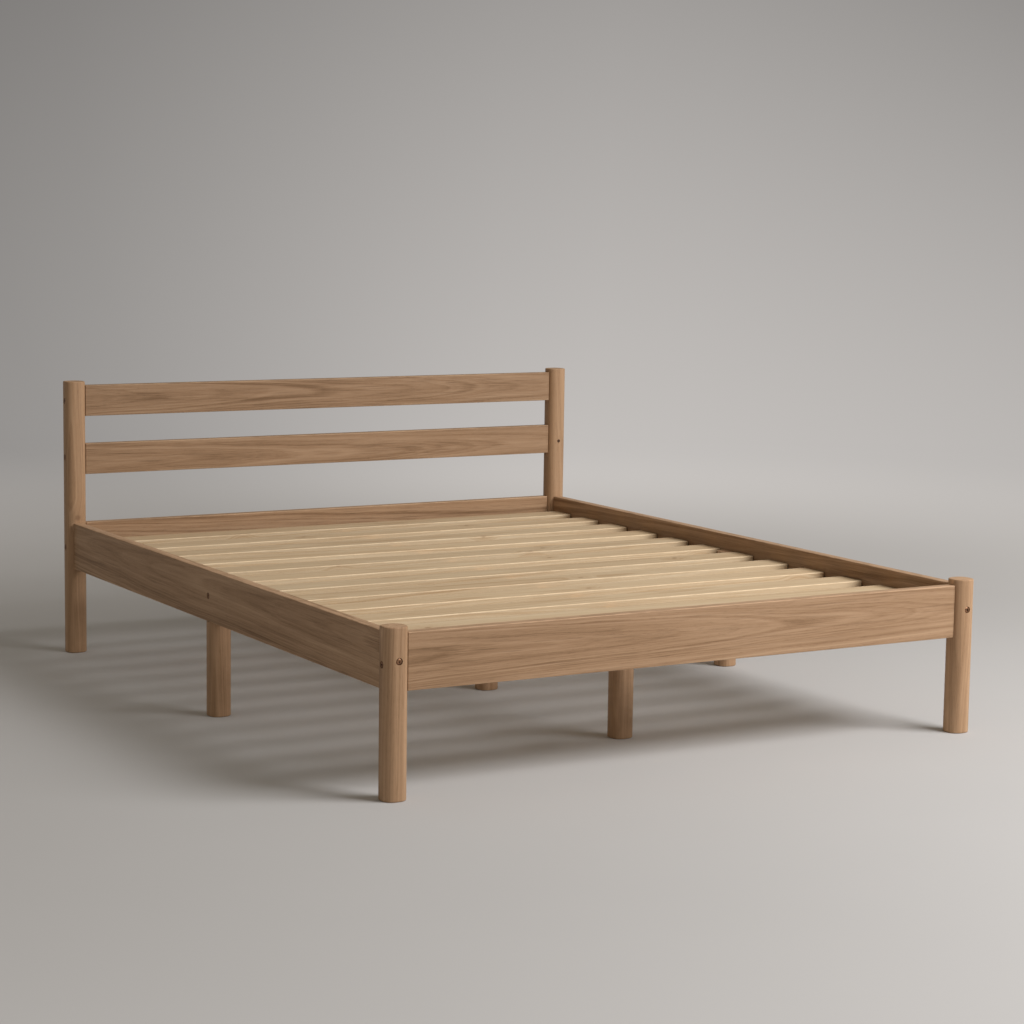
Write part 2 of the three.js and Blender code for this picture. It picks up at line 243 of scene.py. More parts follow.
def edge_share(distance_a, distance_b):
    """1 in the middle of a rounded edge, 0 where it meets either face."""
    if distance_a <= 0 or distance_b <= 0:
        return 0.0
    return math.sin(2 * math.atan2(distance_b, distance_a))


def grain(piece, to_local, half, edge, pith, bores=(), tone=0.0, figure=1.0, top_light=(2, 0.0)):
    """Gives each vertex its place in the log, how worn its edge is, how much light is painted on
    it, and whether it is in a hole, where shade is painted. Local x runs along the grain. The pith
    is the log's centre line, as (y, z) off the middle of the piece. Tone is how much lighter than
    usual the piece is, figure is how strongly its grain shows, and the last argument is the local
    axis that points up, with how much light is painted on the face at its end."""
    offset = Vector((random.uniform(0, 40), -pith[0], -pith[1]))
    places, edge_wear_and_top_light, shade = [], [], []
    for vertex in piece.data.vertices:
        local = to_local @ vertex.co
        places.extend(local + offset)
        reach = [abs(local[k]) - (half[k] - edge[k]) for k in range(3)]
        # A top face gets painted light, for the light that falls on it from above.
        top_lit = top_light[1] if local[top_light[0]] > half[top_light[0]] - ON_FACE else 0.0
        end_edge = edge_share(reach[0], max(reach[1:])) if edge[0] else 0.0
        edge_wear_and_top_light.append(max(edge_share(reach[1], reach[2]), end_edge, top_lit))
        # Vertices deep in a hole get painted shade, for the light that doesn't reach in.
        shade.append(max((deep(vertex.co, *hole) for hole in bores), default=0.0))
    add_values(piece, "grain", places, "FLOAT_VECTOR")
    add_values(piece, "edge", edge_wear_and_top_light)
    add_values(piece, "shade", shade)
    lighter = 1 + tone + TONE_SPREAD * random.uniform(-1, 1)
    add_values(piece, "tone", [lighter] * len(edge_wear_and_top_light))
    add_values(piece, "figure", [figure] * len(edge_wear_and_top_light))


def deep(point, start, direction, radius):
    """1 for a vertex well inside a hole, 0 elsewhere."""
    along = (point - start).dot(direction)
    off_axis = (point - start - along * direction).length
    return 1.0 if along > RIM_DEPTH and off_axis < radius + RIM_REACH else 0.0


# --- Materials ------------------------------------------------------------------------------------


class Graph:
    """A small writer of shader nodes. An input is a socket to link or a value to set."""

    def __init__(self, name):
        self.material = bpy.data.materials.new(name)
        self.material.use_nodes = True
        self.tree = self.material.node_tree
        self.shader = self.tree.nodes["Principled BSDF"]

    def fill(self, node, inputs):
        for key, value in inputs.items():
            socket = node.inputs[key]
            if isinstance(value, bpy.types.NodeSocket):
                self.tree.links.new(value, socket)
            else:
                socket.default_value = value

    def add(self, kind, inputs, output=0, **settings):
        node = self.tree.nodes.new(kind)
        for key, value in settings.items():
            setattr(node, key, value)
        self.fill(node, inputs)
        return node.outputs[output]

    def math(self, operation, a, b=0.0, c=0.0, clamp=False):
        return self.add("ShaderNodeMath", {0: a, 1: b, 2: c}, operation=operation, use_clamp=clamp)

    def vector(self, operation, a, b):
        return self.add("ShaderNodeVectorMath", {0: a, 1: b}, operation=operation)

    def attribute(self, name, output="Fac"):
        return self.add("ShaderNodeAttribute", {}, output, attribute_name=name)

    def noise(self, place, detail=2.0, roughness=0.5, output="Fac"):
        inputs = {"Vector": place, "Scale": 1.0, "Detail": detail, "Roughness": roughness}
        return self.add("ShaderNodeTexNoise", inputs, output)

    def noise_line(self, w, detail=2.0, roughness=0.5):
        inputs = {"W": w, "Scale": 1.0, "Detail": detail, "Roughness": roughness}
        return self.add("ShaderNodeTexNoise", inputs, "Fac", noise_dimensions="1D")

    def split(self, vector):
        return self.add("ShaderNodeSeparateXYZ", {0: vector}).node.outputs

    def remap(self, value, low, high, to_low=0.0, to_high=1.0, shape="SMOOTHSTEP"):
        inputs = {
            "Value": value, "From Min": low, "From Max": high, "To Min": to_low, "To Max": to_high,
        }
        return self.add("ShaderNodeMapRange", inputs, interpolation_type=shape)

    def blend(self, share, a, b, mode="MIX"):
        inputs = {0: share, 6: a, 7: b}
        return self.add("ShaderNodeMix", inputs, 2, data_type="RGBA", blend_type=mode)

    def ramp(self, value, stops):
        node = self.tree.nodes.new("ShaderNodeValToRGB")
        self.fill(node, {"Fac": value})
        elements = node.color_ramp.elements
        while len(elements) < len(stops):
            elements.new(0.5)
        for element, (place, colour) in zip(elements, stops):
            element.position = place
            element.color = (*colour, 1)
        return node.outputs["Color"]

    def finish(self, **inputs):
        self.fill(self.shader, {key.replace("_", " "): value for key, value in inputs.items()})
        return self.material


def scaled(colour, share):
    return (*[min(1.0, part * share) for part in colour], 1)


def wood(name, dark, middle, light, knot, ring_pitch, contrast, gloss, pores, knots):
    """Sawn timber: growth rings round a pith, with streaks, fibres, pores, knots and wear."""
    g = Graph(name)
    place = g.attribute("grain", "Vector")
    figure = g.attribute("figure")

    def stretched(along, across):
        return g.vector("MULTIPLY", place, (along, across, across))

    sway = g.vector("SUBTRACT", g.noise(stretched(1.1, 4.0), 3, 0.5, "Color"), (0.5, 0.5, 0.5))
    bent = g.vector("ADD", place, g.vector("MULTIPLY", sway, (0, 0.030, 0.030)))
    x, y, z = g.split(bent)
    radius = g.math("SQRT", g.math("ADD", g.math("MULTIPLY", y, y), g.math("MULTIPLY", z, z)))
    angle = g.math("ARCTAN2", z, y)

    # Branches leave the pith at a place along the log and an angle round it.
    per_metre, per_radian = 1.9, 0.75
    steps = {0: g.math("MULTIPLY", x, per_metre), 1: g.math("MULTIPLY", angle, per_radian)}
    cell = g.add("ShaderNodeCombineXYZ", steps)
    inputs = {"Vector": cell, "Scale": 1.0}
    cells = g.add("ShaderNodeTexVoronoi", inputs, "Color", voronoi_dimensions="2D")
    gap = g.split(g.vector("SUBTRACT", cell, cells.node.outputs["Position"]))
    along = g.math("MULTIPLY", gap[0], 0.62 / per_metre)
    round_log = g.math("MULTIPLY", g.math("DIVIDE", gap[1], per_radian), radius)
    squares = g.math("MULTIPLY", along, along), g.math("MULTIPLY", round_log, round_log)
    off = g.math("SQRT", g.math("ADD", *squares))
    present = g.remap(g.add("ShaderNodeSeparateColor", {0: cells}), 1 - knots, 1.04 - knots)
    swirl = g.math("MULTIPLY", g.remap(off, 0.0, 0.042, 1.0, 0.0), present)
    heart = g.math("MULTIPLY", g.remap(off, 0.002, 0.0075, 1.0, 0.0), present)

    # The rings lean a little along the log, swell round a knot, and waver with the fibres.
    fibres = g.noise(stretched(9, 420), 4, 0.62)
    streaks = g.noise(stretched(2.6, 105), 5, 0.64)
    cloud = g.noise(stretched(1.9, 9), 2, 0.5)
    ring_place = g.math("MULTIPLY_ADD", x, 0.022, radius)
    ring_place = g.math("MULTIPLY_ADD", swirl, 0.013, ring_place)
    ring_place = g.math("MULTIPLY_ADD", fibres, 0.0035, ring_place)
    rings = g.noise_line(g.math("MULTIPLY", ring_place, 1 / ring_pitch), 3.0, 0.62)
    bands = g.noise_line(g.math("MULTIPLY", ring_place, 0.2 / ring_pitch), 2.0, 0.5)

    # The colour is a weighted sum of them all.
    mix = g.math("MULTIPLY", rings, 0.32)
    for part, share in ((bands, 0.18), (streaks, 0.24), (fibres, 0.16), (cloud, 0.10)):
        mix = g.math("MULTIPLY_ADD", part, share, mix)
    mix = g.math("MULTIPLY_ADD", g.math("SUBTRACT", mix, 0.5), figure, 0.5)
    spread = g.remap(mix, 0.5 - 0.15 / contrast, 0.5 + 0.15 / contrast, shape="LINEAR")
    colour = g.ramp(spread, [(0.0, dark), (0.45, middle), (1.0, light)])

    # Dark dashes and open pores, more of them in the soft early wood.
    dashes = g.remap(g.noise(stretched(7, 330), 2, 0.55), 0.55, 0.72)
    dashes = g.math("MULTIPLY", dashes, figure)
    dashes = g.math("MULTIPLY", dashes, g.remap(bands, 0.60, 0.38, 0.25, 1.0))
    colour = g.blend(g.math("MULTIPLY", dashes, 1.1 * pores), colour, scaled(dark, 0.55))
    pore = g.remap(g.noise(stretched(48, 2100), 1, 0.5), 0.60, 0.70)
    pore = g.math("MULTIPLY", pore, g.remap(rings, 0.62, 0.40, 0.15, 1.0))
    colour = g.blend(g.math("MULTIPLY", pore, pores), colour, scaled(dark, 0.42))
    colour = g.blend(g.math("MULTIPLY", swirl, 0.30), colour, (*dark, 1))
    colour = g.blend(g.math("MULTIPLY", heart, 0.62), colour, (*knot, 1))

    # Worn edges are lighter, partly from real wear and partly as painted highlight, top faces get
    # painted light, and the insides of holes get painted shade.
    patches = g.remap(g.noise(stretched(22, 60), 2), 0.35, 0.62, 0.3, 0.9)
    worn_and_top_lit = g.math("MULTIPLY", g.attribute("edge"), patches)
    colour = g.blend(g.math("MULTIPLY", worn_and_top_lit, 0.62), colour, scaled(light, 1.4))
    toned = {"Vector": colour, "Scale": g.attribute("tone")}
    colour = g.add("ShaderNodeVectorMath", toned, operation="SCALE")
    # Painted shade inside holes.
    colour = g.blend(g.math("MULTIPLY", g.attribute("shade"), 0.3), colour, scaled(dark, 0.3))

    relief = g.math("MULTIPLY_ADD", pore, -1.0, g.math("MULTIPLY", fibres, 0.5))
    bump = g.add("ShaderNodeBump", {"Height": relief, "Strength": 0.25, "Distance": 0.1 * MM})
    rough = g.math("MULTIPLY_ADD", fibres, 0.16, gloss - 0.08)
    rough = g.math("MULTIPLY_ADD", pore, 0.18, rough)
    rough = g.math("MULTIPLY_ADD", worn_and_top_lit, -0.06, rough, clamp=True)
    return g.finish(Base_Color=colour, Roughness=rough, Normal=bump, Specular_IOR_Level=0.22)


def metal(name, colour, worn_colour, roughness):
    """Plated steel with handling marks and a little tarnish."""
    g = Graph(name)
    place = g.add("ShaderNodeTexCoord", {}, "Object")
    marks = g.noise(g.vector("MULTIPLY", place, (900, 900, 900)), 3, 0.6)
    tarnish = g.noise(g.vector("MULTIPLY", place, (160, 160, 160)), 2, 0.5)
    shade = g.blend(g.remap(tarnish, 0.35, 0.7), (*colour, 1), (*worn_colour, 1))
    rough = g.math("MULTIPLY_ADD", marks, 0.24, roughness - 0.12)
    bump = g.add("ShaderNodeBump", {"Height": marks, "Strength": 0.15, "Distance": 0.1 * MM})
    return g.finish(Base_Color=shade, Metallic=1.0, Roughness=rough, Normal=bump)


def webbing(name, colour):
    """A flat plain-woven strap: warp yarns along it and weft yarns across."""
    g = Graph(name)
    parts = g.split(g.attribute("weave", "Vector"))
    warp = g.math("SINE", g.math("MULTIPLY", parts[0], math.pi / (1.25 * MM)))
    weft = g.math("SINE", g.math("MULTIPLY", parts[1], math.pi / (0.9 * MM)))
    over = g.math("MULTIPLY", warp, weft)
    height = g.math("ABSOLUTE", over)
    stray = g.noise(g.vector("MULTIPLY", g.attribute("weave", "Vector"), (900, 900, 900)), 3, 0.6)
    # Random yarn tone, with painted shade in the grooves between the yarns.
    yarn_tone_and_weave_shade = g.remap(g.math("MULTIPLY_ADD", stray, 0.6, g.math("MULTIPLY", height, 0.4)), 0.2, 0.8)
    shade = g.blend(yarn_tone_and_weave_shade, scaled(colour, 0.62), (*colour, 1))
    bump = g.add("ShaderNodeBump", {"Height": height, "Strength": 0.7, "Distance": 0.5 * MM})
    rough = g.math("MULTIPLY_ADD", stray, 0.1, 0.85)
    return g.finish(Base_Color=shade, Roughness=rough, Normal=bump, Sheen_Weight=0.25)


oak = wood(
    "brown_oak",
    dark=(0.225, 0.126, 0.063), middle=(0.378, 0.231, 0.131), light=(0.505, 0.330, 0.203),
    knot=(0.110, 0.055, 0.026),
    ring_pitch=6 * MM, contrast=1.1, gloss=0.52, pores=0.42, knots=0.10,
)
pine = wood(
    "pale_pine",
    dark=(0.50, 0.33, 0.185), middle=(0.63, 0.47, 0.295), light=(0.71, 0.57, 0.39),
    knot=(0.24, 0.11, 0.045),
    ring_pitch=5 * MM, contrast=1.1, gloss=0.62, pores=0.04, knots=0.42,
)
walnut = wood(
    "dark_peg",
    dark=(0.045, 0.022, 0.012), middle=(0.075, 0.038, 0.020), light=(0.115, 0.062, 0.034),
    knot=(0.02, 0.01, 0.006),
    ring_pitch=1.2 * MM, contrast=1.0, gloss=0.45, pores=0.3, knots=0.0,
)
bronze = metal("dark_bronze", (0.31, 0.170, 0.098), (0.20, 0.105, 0.060), 0.42)
zinc = metal("bright_zinc", (0.56, 0.56, 0.55), (0.42, 0.42, 0.41), 0.34)
strap_cloth = webbing("natural_webbing", (0.60, 0.56, 0.47))


# --- Wooden pieces --------------------------------------------------------------------------------


def box_middle(node):
    low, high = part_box(node)
    return (low + high) / 2, high - low


def eased_ends(length, width, height, radius, ease):
    """Sections of a board whose end edges are eased a little."""
    inner_radius = max(radius - ease, LEAST_EDGE)
    inner = rounded_outline(width - 2 * ease, height - 2 * ease, inner_radius, EDGE_STEPS)
    outer = rounded_outline(width, height, radius, EDGE_STEPS)
    half = length / 2
    return [(-half, inner), (ease - half, outer), (half - ease, outer), (half, inner)]


def board(
    node, along, edge, pith, tenon=0.0, cutters=(), bores=(),
    material=oak, tone=0.0, figure=1.0,
):
    """A board in its CAD node's box, tenons included. "along" is the grain's world axis."""
    middle, size = box_middle(node)
    if along == "X":
        length, width, height = size.x, size.y, size.z
        matrix = Matrix.Translation(middle)
    else:
        length, width, height = size.y, size.x, size.z
        matrix = Matrix.Translation(middle) @ Matrix.Rotation(math.pi / 2, 4, "Z")
    sections = eased_ends(length - 2 * tenon, width, height, edge, BOARD_END)
    if tenon:
        tongue_height = height - 2 * TENON_SHOULDER
        tongue = rounded_outline(TENON_THICKNESS, tongue_height, TENON_EDGE, EDGE_STEPS)
        start, reach = length / 2 - tenon, length / 2
        sections = [(-reach, tongue), (-start, tongue), *sections, (start, tongue), (reach, tongue)]
    piece = loft(f"{node}_visual", sections, matrix)
    cut(piece, list(cutters))
    half = (length / 2 - tenon, width / 2, height / 2)
    # Oak boards get painted light on their top faces.
    top_light = (2, RAIL_TOP_LIGHT if material is oak else 0.0)
    edges = (BOARD_END, edge, edge)
    grain(piece, matrix.inverted(), half, edges, pith, bores, tone, figure, top_light)
    finish_piece(piece, node, material)


def post_sections(size, height):
    """Sections of an upright post with rounded foot and top edges."""
    low, high = [], []
    for k in range(EDGE_STEPS + 1):
        turn = math.radians(90 * k / EDGE_STEPS)
        inset, rise = END_ROUND * (1 - math.sin(turn)), END_ROUND * (1 - math.cos(turn))
        side = size - 2 * inset
        outline = rounded_outline(side, side, POST_CORNER - inset, CORNER_STEPS)
        low.append((rise, outline))
        high.insert(0, (height - rise, outline))
    return low + high


def post(node, pith, cutters, bores=()):
    middle, size = box_middle(node)
    base = Vector((middle.x, middle.y, 0))
    matrix = Matrix.Translation(base) @ Matrix.Rotation(-math.pi / 2, 4, "Y")
    piece = loft(f"{node}_visual", post_sections(size.x, size.z), matrix)
    cut(piece, cutters)
    to_local = Matrix.Translation((-size.z / 2, 0, 0)) @ matrix.inverted()
    half = (size.z / 2, size.x / 2, size.x / 2)
    edges = (END_ROUND, 0, 0)
    grain(piece, to_local, half, edges, pith, bores, POST_TONE, POST_FIGURE, (0, POST_TOP_LIGHT))
    finish_piece(piece, node, oak)


def corner_joints(side, end):
    """(direction to the rail, fastener, tenon length, rail) for each joint in a corner post."""
    side_name = "left" if side < 0 else "right"
    end_name = "foot" if end < 0 else "head"
    across, along = Vector((-side, 0, 0)), Vector((0, -end, 0))
    corner = f"{end_name}_{side_name}"
    joints = [
        (across, f"{end_name}_rail_bolt_{corner}", STUB_TENON, f"{end_name}_rail"),
        (along, f"side_rail_bolt_{corner}", STUB_TENON, f"side_rail_{side_name}"),
    ]
    if end > 0:
        for which in ("upper", "lower"):
            rail = f"headboard_{which}_rail"
            joints.append((across, f"headboard_{which}_screw_{side_name}", LONG_TENON, rail))
    return joints


def mortise(middle, half_post, direction, tenon, rail):
    """A cutter for the pocket that a rail's tenon goes into."""
    rail_low, rail_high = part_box(rail)
    near, far = half_post - tenon - PLAY, half_post + PAST
    side_step = Vector((abs(direction.y), abs(direction.x), 0)) * (TENON_THICKNESS / 2 + PLAY)
    ends = (middle + direction * near - side_step, middle + direction * far + side_step)
    low = Vector([min(a, b) for a, b in zip(*ends)])
    high = Vector([max(a, b) for a, b in zip(*ends)])
    low.z = rail_low.z + TENON_SHOULDER - PLAY
    high.z = rail_high.z - TENON_SHOULDER + PLAY
    return block(low, high)


def corner_post(side, end):
    side_name = "left" if side < 0 else "right"
    node = f"{'foot' if end < 0 else 'head'}_post_{side_name}"
    middle, size = box_middle(node)
    half = size.x / 2
    cutters, bores = [], []
    for direction, fastener, tenon, rail in corner_joints(side, end):
        fastener_middle, _ = box_middle(fastener)
        start = Vector((middle.x, middle.y, fastener_middle.z)) - direction * half
        shank = SCREW_HOLE if "screw" in fastener else BOLT_HOLE
        cutters += [recess(start, direction), bore(start, direction, shank, 2 * half + PAST)]
        cutters.append(mortise(middle, half, direction, tenon, rail))
        bores.append((start, direction, RECESS_RADIUS))
    if side > 0 and end > 0:
        low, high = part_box("headboard_tenon_peg_right")
        start = Vector((middle.x, low.y, (low.z + high.z) / 2))
        inward = Vector((0, 1, 0))
        cutters.append(bore(start, inward, PEG_RADIUS + PLAY, high.y - low.y + PLAY))
        bores.append((start, inward, PEG_RADIUS))
    post(node, (0.052 * side, 0.036 * end), cutters, bores)


def bolted_rail_cutters(node, along, bolt_nodes):
    """Bolt holes through the tenons, and cross holes from the inner face for the barrel nuts."""
    middle, size = box_middle(node)
    across = 1 if along == "X" else 0
    half = size[across] / 2
    outward = Vector((0, 0, 0))
    outward[across] = math.copysign(1, middle[across])
    cutters, bores = [], []
    for bolt in bolt_nodes:
        bolt_middle, _ = box_middle(bolt)
        nut_middle, _ = box_middle(bolt.replace("bolt", "barrel_nut"))
        inward = nut_middle - bolt_middle
        inward.z = 0
        inward.normalize()
        shank_start = nut_middle - inward * (NUT_OFFSET + STUB_TENON + PLAY)
        depth = NUT_OFFSET + STUB_TENON + BOLT_PAST_NUT
        cutters.append(bore(shank_start, inward, BOLT_HOLE, depth))
        start = nut_middle.copy()
        start[across] = middle[across] - outward[across] * half
        cutters.append(recess(start, outward, NUT_HOLE, half + NUT_HOLE_PAST, NUT_HOLE_RIM))
        bores.append((start, outward, NUT_HOLE))
    return cutters, bores


def cross_rail(end_name, pith):
    node = f"{end_name}_rail"
    bolts = [f"{end_name}_rail_bolt_{end_name}_{side}" for side in SIDES]
    cutters, bores = bolted_rail_cutters(node, "X", bolts)
    beam_low, beam_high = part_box("centre_beam")
    low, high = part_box(node)
    if end_name == "foot":
        near, far = beam_low.y - PLAY, high.y + PAST
    else:
        near, far = low.y - PAST, beam_high.y + PLAY
    housing_low = (beam_low.x - PLAY, near, beam_low.z - PLAY)
    housing_high = (beam_high.x + PLAY, far, beam_high.z + PLAY)
    cutters.append(block(housing_low, housing_high))
    board(node, "X", BOARD_EDGE, pith, STUB_TENON, cutters, bores, tone=-0.03)


def side_rail(side_name, pith):
    node = f"side_rail_{side_name}"
    side = SIDES[side_name]
    bolts = [f"side_rail_bolt_{end}_{side_name}" for end in ENDS]
    cutters, bores = bolted_rail_cutters(node, "Y", bolts)
    middle, size = box_middle(node)
    inward = Vector((-side, 0, 0))
    start = Vector((middle.x + side * size.x / 2, 0, middle.z))
    cutters = [recess(start, inward), bore(start, inward, SCREW_HOLE, size.x + PAST), *cutters]
    bores.append((start, inward, RECESS_RADIUS))
    board(node, "Y", BOARD_EDGE, pith, STUB_TENON, cutters, bores, tone=0.05, figure=1.2)


def headboard_rail(which, pith):
    node = f"headboard_{which}_rail"
    low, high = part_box(node)
    cutters = []
    for side_name, side in SIDES.items():
        screw_middle, _ = box_middle(f"headboard_{which}_screw_{side_name}")
        start = Vector((side * high.x, (low.y + high.y) / 2, screw_middle.z))
        inward = Vector((-side, 0, 0))
        cutters.append(bore(start, inward, SCREW_HOLE, LONG_TENON + RAIL_SCREW_DEPTH))
    if which == "lower":
        peg_middle, _ = box_middle("headboard_tenon_peg_right")
        start = Vector((peg_middle.x, low.y, peg_middle.z))
        cutters.append(bore(start, Vector((0, 1, 0)), PEG_RADIUS + PLAY, high.y - low.y + PAST))
    board(node, "X", BOARD_EDGE, pith, LONG_TENON, cutters, tone=-0.13, figure=1.3)


def side_leg(side_name):
    node = f"side_leg_{side_name}"
    side = SIDES[side_name]
    _, size = box_middle(node)
    rail_low, rail_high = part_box(f"side_rail_{side_name}")
    if side < 0:
        near, far, tongue_x = rail_low.x - PAST, rail_high.x + PLAY, rail_high.x
    else:
        near, far, tongue_x = rail_low.x - PLAY, rail_high.x + PAST, rail_low.x
    low = (near, -size.y / 2 - PAST, rail_low.z - PLAY)
    high = (far, size.y / 2 + PAST, size.z + PAST)
    screw_middle, _ = box_middle(f"side_leg_screw_{side_name}")
    start = Vector((tongue_x, 0, screw_middle.z))
    pilot = bore(start, Vector((-side, 0, 0)), SCREW_HOLE, LEG_SCREW_DEPTH)
    post(node, (0.045 * side, 0.050), [block(low, high), pilot])


def centre_leg(where):
    node = f"centre_leg_{where}"
    middle, size = box_middle(node)
    beam_low, beam_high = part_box("centre_beam")
    half = size.y / 2 + PAST
    slot_low = (beam_low.x - PLAY, middle.y - half, beam_low.z - PLAY)
    slot_high = (beam_high.x + PLAY, middle.y + half, size.z + PAST)
    peg_middle, _ = box_middle(f"centre_leg_peg_{where}")
    start = Vector((-size.x / 2, middle.y, peg_middle.z))
    hole = bore(start, Vector((1, 0, 0)), PEG_RADIUS + PLAY, size.x + PAST)
    post(node, (0.040, -0.055), [block(slot_low, slot_high), hole])


def centre_beam():
    cutters = []
    low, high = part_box("centre_beam")
    for where in CENTRE_LEGS:
        peg_middle, _ = box_middle(f"centre_leg_peg_{where}")
        start = Vector((low.x, peg_middle.y, peg_middle.z))
        cutters.append(bore(start, Vector((1, 0, 0)), PEG_RADIUS + PLAY, high.x - low.x + PAST))
    board("centre_beam", "Y", BOARD_EDGE, (0.06, 0.01), 0.0, cutters)


def slats():
    for node in SLATS:
        pith = (random.uniform(-0.03, 0.03), random.choice((-1, 1)) * random.uniform(0.035, 0.08))
        board(node, "X", SLAT_EDGE, pith, material=pine)


def ledgers():
    for side in SIDES:
        for end in ENDS:
            pith = (random.uniform(0.03, 0.06), random.uniform(-0.03, 0.03))
            board(f"slat_ledger_{side}_{end}", "Y", LEDGER_EDGE, pith)


# --- Hardware -------------------------------------------------------------------------------------


def fastener(node, direction, shank, point):
    """A bolt or screw with a low domed head and a hexagon socket. The head is at the end of its
    box that the direction leads away from."""
    middle, size = box_middle(node)
    reach = abs(size.dot(direction))
    length = reach - HEAD_HEIGHT
    seat = middle - direction * (reach / 2 - HEAD_HEIGHT)
    top = HEAD_HEIGHT + HEAD_RISE
    turns = [math.radians(90 * k / CROWN_STEPS) for k in range(CROWN_STEPS, -1, -1)]
    profile = [
        (-top * (0.55 + 0.45 * math.sin(turn)), HEAD_RADIUS - HEAD_CROWN * (1 - math.cos(turn)))
        for turn in turns
    ]
    profile += [(0, HEAD_RADIUS), (0, shank), (length - point, shank), (length, shank - point)]
    piece = turned(f"{node}_visual", profile, seat, direction)
    socket = [(-top - PAST, SOCKET_RADIUS), (SOCKET_DEPTH - top, SOCKET_RADIUS)]
    cut(piece, [turned("cutter", socket, seat, direction, 6)])
    finish_piece(piece, node, bronze)


def fasteners():
    for side_name, side in SIDES.items():
        across = Vector((-side, 0, 0))
        for end_name, end in ENDS.items():
            corner = f"{end_name}_{side_name}"
            fastener(f"{end_name}_rail_bolt_{corner}", across, BOLT_RADIUS, BOLT_POINT)
            fastener(f"side_rail_bolt_{corner}", Vector((0, -end, 0)), BOLT_RADIUS, BOLT_POINT)
        for which in ("upper", "lower"):
            fastener(f"headboard_{which}_screw_{side_name}", across, SCREW_RADIUS, SCREW_POINT)
        fastener(f"side_leg_screw_{side_name}", across, SCREW_RADIUS, SCREW_POINT)


def barrel_nut(node, inner, bolt_direction):
    """A cross dowel: a bright pin with a bolt hole through it and a screwdriver slot in its end."""
    middle, size = box_middle(node)
    half = abs(size.dot(inner)) / 2
    end_radius = NUT_RADIUS - NUT_EDGE
    profile = [(-half, end_radius), (NUT_EDGE - half, NUT_RADIUS)]
    profile += [(half - NUT_EDGE, NUT_RADIUS), (half, end_radius)]
    piece = turned(f"{node}_visual", profile, middle, inner)
    start = middle - bolt_direction * NUT_RADIUS
    hole = bore(start, bolt_direction, NUT_BORE, 2 * NUT_RADIUS + PAST)
    reach = Vector((NUT_RADIUS + PAST, NUT_RADIUS + PAST, NUT_SLOT / 2))
    end = middle + inner * half
    low, high = end - reach, end + reach
    axis = 0 if inner.x else 1
    slot_ends = (end[axis] - inner[axis] * NUT_SLOT, end[axis] + inner[axis] * PAST)
    low[axis], high[axis] = sorted(slot_ends)
    cut(piece, [hole, block(low, high)])
    finish_piece(piece, node, zinc)


def barrel_nuts():
    for side_name, side in SIDES.items():
        for end_name, end in ENDS.items():
            corner = f"{end_name}_{side_name}"
            across, along = Vector((-side, 0, 0)), Vector((0, -end, 0))
            barrel_nut(f"{end_name}_rail_barrel_nut_{corner}", along, across)
            barrel_nut(f"side_rail_barrel_nut_{corner}", across, along)


def peg(node, direction):
    """A hardwood peg with a slightly domed, chamfered end."""
    middle, size = box_middle(node)
    half = abs(size.dot(direction)) / 2
    profile = [(depth - half, radius) for depth, radius in PEG_END]
    profile += [(-along, radius) for along, radius in reversed(profile)]
    piece = turned(f"{node}_visual", profile, middle, direction)
    to_local = pointing(middle, direction).inverted()
    grain(piece, to_local, (half, PEG_RADIUS, PEG_RADIUS), (0, 0, 0), (0.004, 0.003))
    finish_piece(piece, node, walnut)


def strap(side_name):
    """A webbing strap that passes under every slat and sags a little between them."""
    node = f"slat_strap_{side_name}"
    low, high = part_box(node)
    middle, size = box_middle(node)
    outline = rounded_outline(size.x, size.z, STRAP_EDGE, 2)
    slat_edges = sorted(corner.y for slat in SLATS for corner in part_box(slat))
    sections = []
    for k in range(STRAP_STEPS + 1):
        y = low.y + (high.y - low.y) * k / STRAP_STEPS
        sections.append((y, [(-across, up - sag(y, slat_edges)) for across, up in outline]))
    turn = Matrix.Rotation(math.pi / 2, 4, "Z")
    piece = loft(f"{node}_visual", sections, Matrix.Translation((middle.x, 0, middle.z)) @ turn)
    places = []
    for vertex in piece.data.vertices:
        places.extend((vertex.co.x - middle.x, vertex.co.y, 0))
    add_values(piece, "weave", places, "FLOAT_VECTOR")
    finish_piece(piece, node, strap_cloth)


def sag(y, slat_edges):
    """How far the strap hangs at y: nothing under a slat, most in the middle of a gap."""
    for start, stop in zip(slat_edges[1::2], slat_edges[2::2]):
        if start < y < stop:
            share = (y - start) / (stop - start)
            return STRAP_SAG * math.sin(math.pi * share) ** 2
    return 0.0


# --- Assembly -------------------------------------------------------------------------------------

for end in ENDS.values():
    for side in SIDES.values():
        corner_post(side, end)
cross_rail("foot", (-0.058, 0.012))
cross_rail("head", (0.062, -0.02))
side_rail("left", (-0.064, 0.030))
side_rail("right", (0.055, 0.02))
headboard_rail("upper", (-0.075, 0.010))
headboard_rail("lower", (-0.052, -0.012))
for side_name in SIDES:
    side_leg(side_name)
for where in CENTRE_LEGS:
    centre_leg(where)
    peg(f"centre_leg_peg_{where}", Vector((1, 0, 0)))
centre_beam()
ledgers()
slats()
fasteners()
barrel_nuts()
peg("headboard_tenon_peg_right", Vector((0, -1, 0)))
for side_name in SIDES:
    strap(side_name)


# --- Studio ---------------------------------------------------------------------------------------

FLOOR_REACH = 7.0
FLOOR_RING = 0.25
FLOOR_DROP = 0.2 * MM
BACKDROP_RISE = 8.0
BACKDROP_RINGS = 28


